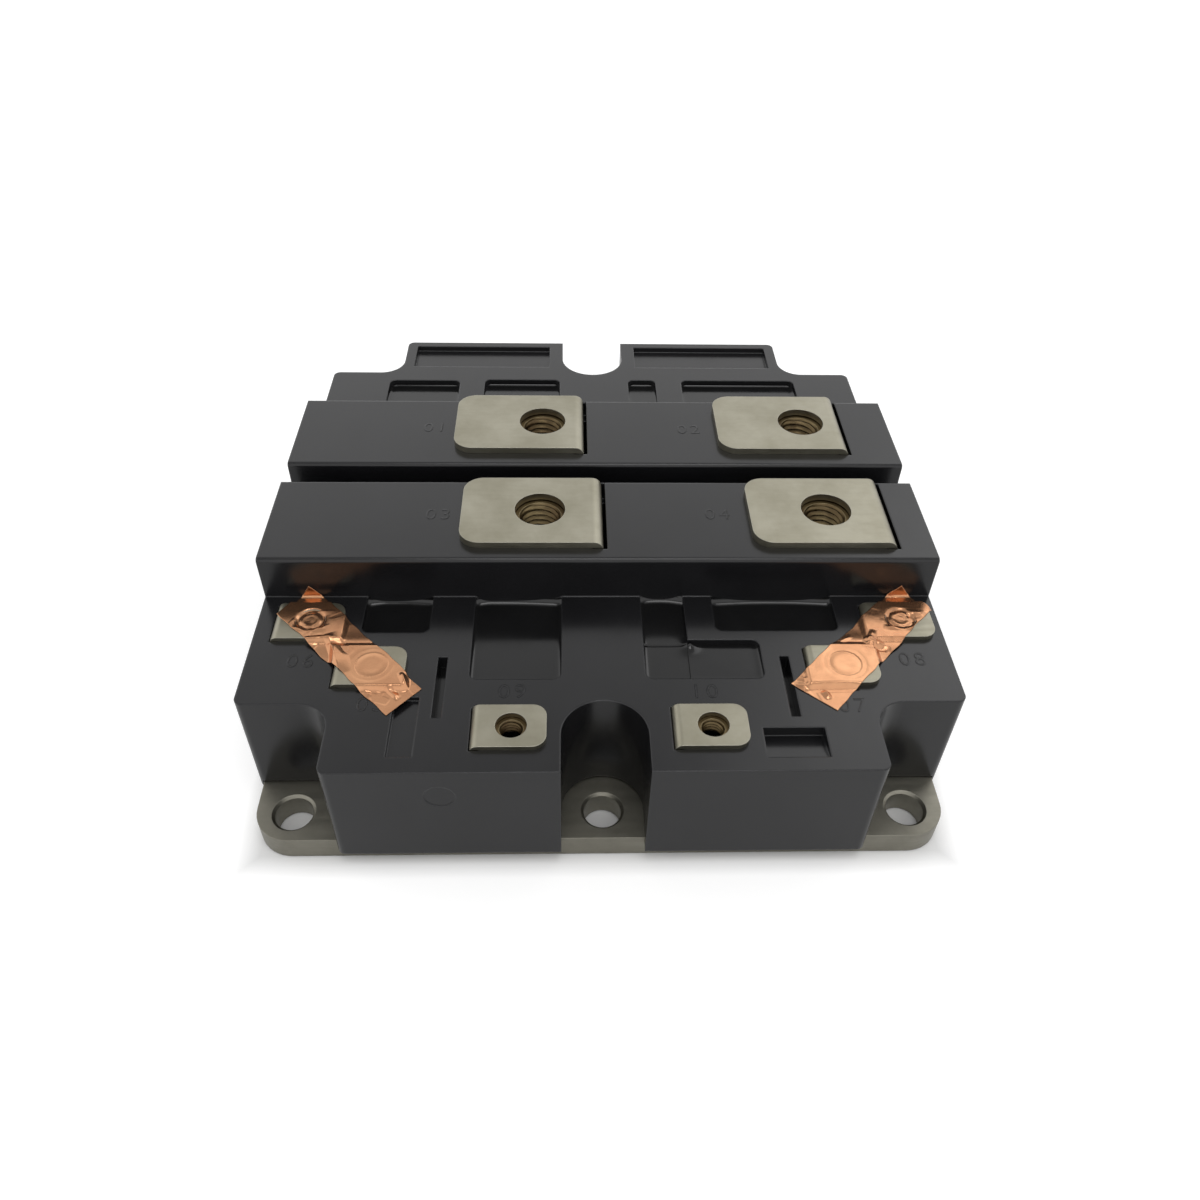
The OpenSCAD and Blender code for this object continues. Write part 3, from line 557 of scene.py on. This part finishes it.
# %% Foil strips
def foil_tape(name, node, corners, gate, emitter, folds, seed, count=(300, 96)):
    """corners, in millimetres, are front left, front right, rear left and rear right of the flat
    strip. folds are start, end, height, width and lean of each, as fold() takes them. Past the
    tower's foot the strip turns up the wall on a quarter circle."""
    rng = np.random.default_rng(seed)
    u = np.linspace(0, 1, count[0])[:, None]
    v = np.linspace(0, 1, count[1])[None, :]
    c = [np.array(p, float) for p in corners]
    flat = ((1 - u) * (1 - v))[..., None] * c[0] + ((1 - u) * v)[..., None] * c[1]
    flat = flat + (u * (1 - v))[..., None] * c[2] + (u * v)[..., None] * c[3]
    side = (c[1] - c[0]) / np.linalg.norm(c[1] - c[0])
    ragged = 0.10 * np.sin(19 * u + seed) + 0.06 * np.sin(47 * u + 2 * seed)
    flat = flat + (ragged * (2 * v - 1) ** 3)[..., None] * side
    x, y = flat[..., 0], flat[..., 1]
    deck, step = deck_z / MM, plate_t / MM
    on_gate = ease(1 - plate_gap(x, y, gate) / 1.3)
    on_emitter = ease(1 - plate_gap(x, y, emitter) / 1.3)
    cover = np.maximum(on_gate, on_emitter)
    bridge = 0.45 * np.exp(-((y - (gate[1] + emitter[1]) / 2 / MM) / 2.6) ** 2) * (1 - cover)
    h = deck + 0.10 + step * (cover + bridge)
    h = h + ring(x, y, gate, 0.10, 3.1, 0.75) + ring(x, y, emitter, 0.34, 2.3, 0.55)
    for start, end, height, width, lean in folds:
        h = h + fold(x, y, start, end, height, width, lean)
    free = 1 - 0.96 * on_gate - 0.45 * on_emitter
    h = h + crumple(x, y, 60, rng, 0.22) * np.clip(free, 0.03, 1)
    from_screw = [np.hypot(x - screw[0] / MM, y - screw[1] / MM) for screw in (gate, emitter)]
    floor = deck + 0.07 + step * ease((cover - 0.80) * 5)
    h = np.where(np.minimum(*from_screw) < 3.0, h, np.maximum(h, floor))
    bend_r, wall_gap = 0.7, 0.12
    turn_y = tower_front_y / MM - wall_gap - bend_r
    over = y - turn_y
    angle = np.clip(over / bend_r, 0, math.pi / 2)
    up = np.maximum(over - bend_r * math.pi / 2, 0)
    y = np.where(over > 0, turn_y + bend_r * np.sin(angle), y)
    h = np.where(over > 0, h + bend_r * (1 - np.cos(angle)) + up, h)
    points = np.stack([x, y, h], axis=-1) * MM
    piece = grid_piece(name, points, foil)
    thick = piece.modifiers.new("foil_thickness", "SOLIDIFY")
    thick.thickness = 0.06 * MM
    thick.offset = -1
    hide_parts(node)
    print(name, "from", points.reshape(-1, 3).min(0).round(4), "to", points.reshape(-1, 3).max(0).round(4))
    return piece


LEFT_FOLDS = [
    ((-55.5, -40.3), (-50.3, -39.7), 0.42, 1.0, 0.40),
    ((-50.6, -39.6), (-47.4, -47.8), 0.62, 1.7, 0.72),
    ((-49.2, -40.5), (-46.3, -43.6), -0.30, 1.2, 0.5),
    ((-36.2, -48.8), (-35.0, -51.4), 0.45, 0.7, 0.4),
    ((-38.4, -51.9), (-36.4, -53.9), 0.38, 0.7, 0.6),
    ((-41.3, -53.2), (-38.2, -54.6), -0.30, 0.9, 0.5),
    ((-58.9, -31.6), (-51.5, -31.4), -0.35, 1.3, 0.5),
    ((-57.5, -37.2), (-52.0, -37.6), 0.22, 0.9, 0.5),
]
RIGHT_FOLDS = [
    ((49.6, -40.0), (52.6, -41.4), 0.50, 0.9, 0.35),
    ((48.8, -41.6), (53.4, -42.6), -0.50, 0.8, 0.5),
    ((51.2, -38.4), (49.9, -41.8), 0.35, 0.9, 0.6),
    ((39.6, -52.4), (40.4, -54.2), 0.45, 0.7, 0.35),
    ((37.6, -52.2), (45.9, -52.0), -0.30, 1.0, 0.6),
    ((54.2, -37.4), (60.6, -37.6), 0.30, 0.8, 0.5),
    ((57.0, -33.2), (62.2, -33.6), 0.22, 0.9, 0.5),
    ((56.9, -30.4), (61.6, -31.0), -0.35, 1.2, 0.5),
]
foil_tape("foil_tape_left", "shorting_tape_left",
          [(-37.9, -57.7), (-32.4, -51.6), (-61.4, -33.4), (-56.2, -25.2)],
          gate_screws[0], emitter_screws[0], LEFT_FOLDS, 3)
foil_tape("foil_tape_right", "shorting_tape_right",
          [(33.9, -50.8), (41.1, -57.0), (59.0, -25.2), (64.2, -32.2)],
          gate_screws[1], emitter_screws[1], RIGHT_FOLDS, 8)

# %% [markdown]
# ## The rim of the resin
# Where the resin met the walls of a window it crept up before it set, and that curved rim
# catches a bright line. A grid over each window lies on the CAD resin. It rises towards the
# walls as an exponential of the distance, and most at the foot of the tower, where it hangs
# from the window's corners like a slack rope.

# %% Resin rims
def packed(low, high, steps):
    """Steps from low to high, close together at both ends: half of one less the cosine."""
    return low + (high - low) * (1 - np.cos(np.linspace(0, math.pi, steps))) / 2


WALL_CLIMB, TOWER_CLIMB, CORNER_CLIMB = 0.32, 0.45, 1.15
WALL_REACH, TOWER_REACH = 0.35, 0.40
BELOW_DECK, ABOVE_RESIN = 0.04, 0.01


def creep(distance, climb=WALL_CLIMB, reach=WALL_REACH):
    """Height of the rim: the climb times e to the power of minus the distance over the reach."""
    return climb * np.exp(-np.maximum(distance, 0) / reach)


def on_resin(x, y, z):
    """Points of a rim in metres, its height over the resin held just below the deck."""
    z = np.minimum(z, deck_z / MM - resin_z / MM - BELOW_DECK)
    return np.stack([x * MM, y * MM, resin_z + z * MM + ABOVE_RESIN * MM], axis=-1)


def resin_rim(name, left, right, near, far, side, low_at=0.5, count=(90, 70)):
    """Window from left to right and from near to far of the tower's foot, in millimetres. low_at
    is where along the tower the rim hangs lowest."""
    xs, reaches = packed(left, right, count[0]), packed(near, far, count[1])
    x, reach = np.meshgrid(xs, reaches, indexing="ij")
    z = creep(x - left) + creep(right - x) + creep(far - reach)
    along = (x - left) / (right - left)
    from_low = np.where(along < low_at, (low_at - along) / low_at, (along - low_at) / (1 - low_at))
    hang = TOWER_CLIMB + CORNER_CLIMB * from_low ** 3 if near == 0 else WALL_CLIMB
    z = z + creep(reach - near, hang, TOWER_REACH)
    points = on_resin(x, side * (-tower_front_y / MM + reach), z)
    return grid_piece(name, points if side > 0 else points[::-1], potting)


FRONT = [
    ("resin_rim_front_1", -45.2, -32.5, 0.0, 9.8, 0.35),
    ("resin_rim_front_2", -24.2, -7.6, 0.0, 21.7, 0.20),
    ("resin_rim_front_4", 21.7, 45.3, 0.0, 9.5, 0.5),
]
REAR = [
    ("resin_rim_rear_1", -50.6, -33.2, 3.0, 23.8),
    ("resin_rim_rear_2", -27.0, -8.3, 3.0, 24.3),
    ("resin_rim_rear_3", 8.8, 15.7, 3.0, 24.3),
    ("resin_rim_rear_4", 22.2, 50.7, 3.0, 24.3),
]
rims = [resin_rim(n, a, b, c, d, -1, low) for n, a, b, c, d, low in FRONT]
rims += [resin_rim(n, a, b, c, d, 1) for n, a, b, c, d in REAR]
print("rims:", [r.name for r in rims])

# %% The window with a corner in it
def corner_rim(name, narrow, wide, bend):
    """A window of two boxes, narrow by the tower and wide further out, each (left, right, near,
    far) in millimetres. The grid covers both; faces outside them are left out. The rim's
    distance is to the nearest wall, and bend, the corner that points inwards, gets a blob."""
    xs = np.unique(np.concatenate([packed(narrow[0], narrow[1], 60), packed(narrow[1], wide[1], 50)]))
    rs = np.unique(np.concatenate([packed(narrow[2], wide[2], 50), packed(wide[2], wide[3], 50)]))
    x, reach = np.meshgrid(xs, rs, indexing="ij")
    z = creep(x - narrow[0]) + creep(wide[3] - reach) + creep(wide[1] - x)
    beside = np.hypot(np.maximum(x - bend[0], 0), np.maximum(bend[1] - reach, 0))
    past = np.maximum(bend[0] - x, 0)
    beyond = np.maximum(reach - bend[1], 0)
    z = z + np.where(beside > 0, TOWER_CLIMB, creep(np.hypot(past, beyond), TOWER_CLIMB))
    z = z + creep(np.hypot(x - bend[0] - 0.5, reach - bend[1] - 0.6), 0.9, 0.8)
    along = np.clip((x - narrow[0]) / (narrow[1] - narrow[0]), 0, 1)
    z = z + creep(reach, TOWER_CLIMB + CORNER_CLIMB * np.abs(2 * along - 0.9) ** 3, TOWER_REACH)
    points = on_resin(x, tower_front_y / MM - reach, z)
    faces = np.roll(grid_faces(*x.shape)[..., ::-1], 1, axis=-1)
    mid_x = (x[:-1, :-1] + x[1:, 1:]) / 2
    mid_r = (reach[:-1, :-1] + reach[1:, 1:]) / 2
    inside = (mid_x < narrow[1]) | (mid_r > wide[2])
    return mesh_piece(name, points.reshape(-1, 3), faces[inside], potting)


corner = corner_rim("resin_rim_front_3", (7.8, 16.1, 0.0, 21.7), (10.0, 29.5, 11.9, 21.7), (16.1, 11.9))
print("corner rim faces", len(corner.data.polygons))

# %% [markdown]
# ## Moulded numbers
# The mould left small raised marks beside the terminals. Here they are plain numbers, one per
# terminal, in the font that comes with the program. A text curve with a little depth is turned
# into a mesh first, and its points are then moved to their place with numpy.

# %% Numbers beside the terminals
def number_points(body, size, depth):
    """The mesh of a text, as points and three-cornered faces, its middle at the origin."""
    curve = bpy.data.curves.new("number", "FONT")
    curve.body = body
    curve.size = size
    curve.extrude = depth
    curve.resolution_u = 4
    curve.space_character = 1.25
    curve.align_x, curve.align_y = "CENTER", "CENTER"
    text = bpy.data.objects.new("number", curve)
    SCENE.collection.objects.link(text)
    shape = text.evaluated_get(bpy.context.evaluated_depsgraph_get()).to_mesh()
    shape.calc_loop_triangles()
    points = np.empty(len(shape.vertices) * 3, np.float32)
    shape.vertices.foreach_get("co", points)
    faces = np.empty(len(shape.loop_triangles) * 3, np.int32)
    shape.loop_triangles.foreach_get("vertices", faces)
    bpy.data.objects.remove(text)
    return points.reshape(-1, 3), faces.reshape(-1, 3)


def moulded_numbers(name, places, size, relief):
    """Numbers as one piece; places are (text, x, y, z), in millimetres."""
    points, faces, so_far = [], [], 0
    for body, x, y, z in places:
        p, f = number_points(body, size * MM, relief * MM)
        points.append(p + np.array([x, y, z]) * MM)
        faces.append(f + so_far)
        so_far += len(p)
    piece = mesh_piece(name, np.concatenate(points), np.concatenate(faces), case_plastic,
                       smooth=False)
    print(name, "triangles", len(piece.data.polygons))
    return piece


ON_TOWERS = [("01", -35.4, 16.3), ("02", 20.3, 15.9), ("03", -32.0, -14.0), ("04", 23.5, -13.9)]
ON_DECK = [("05", -41.0, -55.2), ("06", -55.1, -44.8), ("07", 44.0, -55.9), ("08", 57.5, -44.8),
           ("09", -16.3, -52.3), ("10", 18.0, -52.5)]
PLACES = [(*place, tower_z / MM) for place in ON_TOWERS] + [(*place, deck_z / MM) for place in ON_DECK]
moulded_numbers("moulded_numbers", PLACES, 4.6, 0.05)

# %% [markdown]
# ## Table, room and light
# A pale table runs into a white room. The room is brightest low down behind the object, so the
# flat tops, which mirror it, darken towards the camera. One soft lamp stands at the rear right
# and one hangs above the front, and they draw the bright lines along the rounded edges. The
# table is lifted to white only for what the camera sees, so that brightness never reaches the
# object as extra light, and not in the mounting holes, which stay in their own shade.

# %% Table
def make_table():
    half_size, count, sunk = 3.0, 9, 0.2 * MM
    u = np.linspace(-half_size, half_size, count)
    x, y = np.meshgrid(u, u, indexing="ij")
    material, tree, shader = new_material("table")
    tree.nodes.remove(shader)
    where = place_on(tree)
    cloudy = spread(tree, noise(tree, where, 3.0, 3.0), 0.3, 0.7, 0.0, 1.0)
    colour = blend_colour(tree, cloudy, (0.78, 0.78, 0.78), (0.80, 0.80, 0.80))
    matt = put(tree, "ShaderNodeBsdfDiffuse", Color=colour)
    high = cad_box[1]
    away = put(tree, "ShaderNodeVectorMath", {"operation": "ABSOLUTE"}, _0=where)
    away = put(tree, "ShaderNodeSeparateXYZ", Vector=away.outputs[0])
    past_x = spread(tree, away.outputs[0], high[0] - 2 * MM, high[0] + 3 * MM, 0.0, 1.0)
    past_y = spread(tree, away.outputs[1], high[1] - 2 * MM, high[1] + 3 * MM, 0.0, 1.0)
    outside = put(tree, "ShaderNodeMath", {"operation": "MAXIMUM"}, _0=past_x, _1=past_y)
    ray = put(tree, "ShaderNodeLightPath")
    lift = put(tree, "ShaderNodeMath", {"operation": "MULTIPLY"}, _0=ray.outputs["Is Camera Ray"], _1=0.42)
    lift = put(tree, "ShaderNodeMath", {"operation": "MULTIPLY"}, _0=lift.outputs[0], _1=outside.outputs[0])
    glow = put(tree, "ShaderNodeEmission", Strength=lift.outputs[0])
    both = put(tree, "ShaderNodeAddShader", _0=matt.outputs[0], _1=glow.outputs[0])
    out = [n for n in tree.nodes if n.bl_idname == "ShaderNodeOutputMaterial"][0]
    tree.links.new(both.outputs[0], out.inputs[0])
    mesh = bpy.data.meshes.new("table")
    points = np.stack([x, y, np.full_like(x, -sunk)], axis=-1).reshape(-1, 3)
    mesh.from_pydata(points.tolist(), [], grid_faces(count, count).reshape(-1, 4).tolist())
    mesh.materials.append(material)
    table = bpy.data.objects.new("table", mesh)
    SCENE.collection.objects.link(table)


make_table()
print("table laid")

# %% Room
def make_room():
    """Brightness by height: the third part of the direction is the sine of the elevation."""
    world = bpy.data.worlds.new("room")
    SCENE.world = world
    world.use_nodes = True
    tree = world.node_tree
    tree.nodes.clear()
    towards = put(tree, "ShaderNodeTexCoord").outputs["Generated"]
    height = put(tree, "ShaderNodeSeparateXYZ", Vector=towards).outputs["Z"]
    ramp = spread(tree, height, 0.62, 0.83, 1.15, 0.52)
    ray = put(tree, "ShaderNodeLightPath")
    shown = put(tree, "ShaderNodeMath", {"operation": "MAXIMUM"}, _0=ray.outputs["Is Camera Ray"],
                _1=ray.outputs["Is Transmission Ray"])
    strength = put(tree, "ShaderNodeMix", {"data_type": "FLOAT"}, _0=shown.outputs[0], _2=ramp)
    strength.inputs[3].default_value = 1.0
    sky = put(tree, "ShaderNodeBackground", Color=(1, 1, 1, 1), Strength=strength.outputs[0])
    out = put(tree, "ShaderNodeOutputWorld")
    tree.links.new(sky.outputs[0], out.inputs[0])


make_room()
print("world", SCENE.world.name)

# %% Lamps
def soft_lamp(name, at, towards, size, watts):
    """A square lamp at a point, turned so that its face looks at another point."""
    light = bpy.data.lights.new(name, "AREA")
    light.size = size
    light.energy = watts
    lamp = bpy.data.objects.new(name, light)
    lamp.location = at
    lamp.rotation_euler = (Vector(towards) - Vector(at)).to_track_quat("-Z", "Y").to_euler()
    SCENE.collection.objects.link(lamp)
    return lamp


soft_lamp("key", (0.42, 0.50, 0.757), (0, 0, 0.02), 0.42, 0.50)
soft_lamp("top", (0.05, -0.20, 0.90), (0, 0, 0.02), 0.40, 1.5)
print("lamps placed")

# %% [markdown]
# ## Camera
# The camera stands in front of the low deck and looks down over it, a little from the left.
# Its turn is given as three angles: round, down, and a slight roll.

# %% Camera
def aim_camera(at, round_deg, down_deg, roll_deg, lens):
    """Right is level, forward leans down, up is right crossed with forward; roll turns both."""
    yaw, pitch, roll = (math.radians(a) for a in (round_deg, down_deg, roll_deg))
    forward = Vector((math.sin(yaw) * math.cos(pitch), math.cos(yaw) * math.cos(pitch), -math.sin(pitch)))
    level = Vector((math.cos(yaw), -math.sin(yaw), 0))
    up = level.cross(forward)
    right = math.cos(roll) * level + math.sin(roll) * up
    above = -math.sin(roll) * level + math.cos(roll) * up
    data = bpy.data.cameras.new("camera")
    data.lens = lens
    data.sensor_width = 36
    data.clip_start = 0.01
    camera = bpy.data.objects.new("camera", data)
    turn = Matrix((right, above, -forward)).transposed().to_4x4()
    camera.matrix_world = Matrix.Translation(at) @ turn
    SCENE.collection.objects.link(camera)
    SCENE.camera = camera


aim_camera(Vector((-6.4, -173.1, 164.8)) * MM, 2.5, 43.55, 1.65, 30.67)
SCENE.view_settings.view_transform = "Standard"
print("camera at", tuple(round(v, 4) for v in SCENE.camera.location))
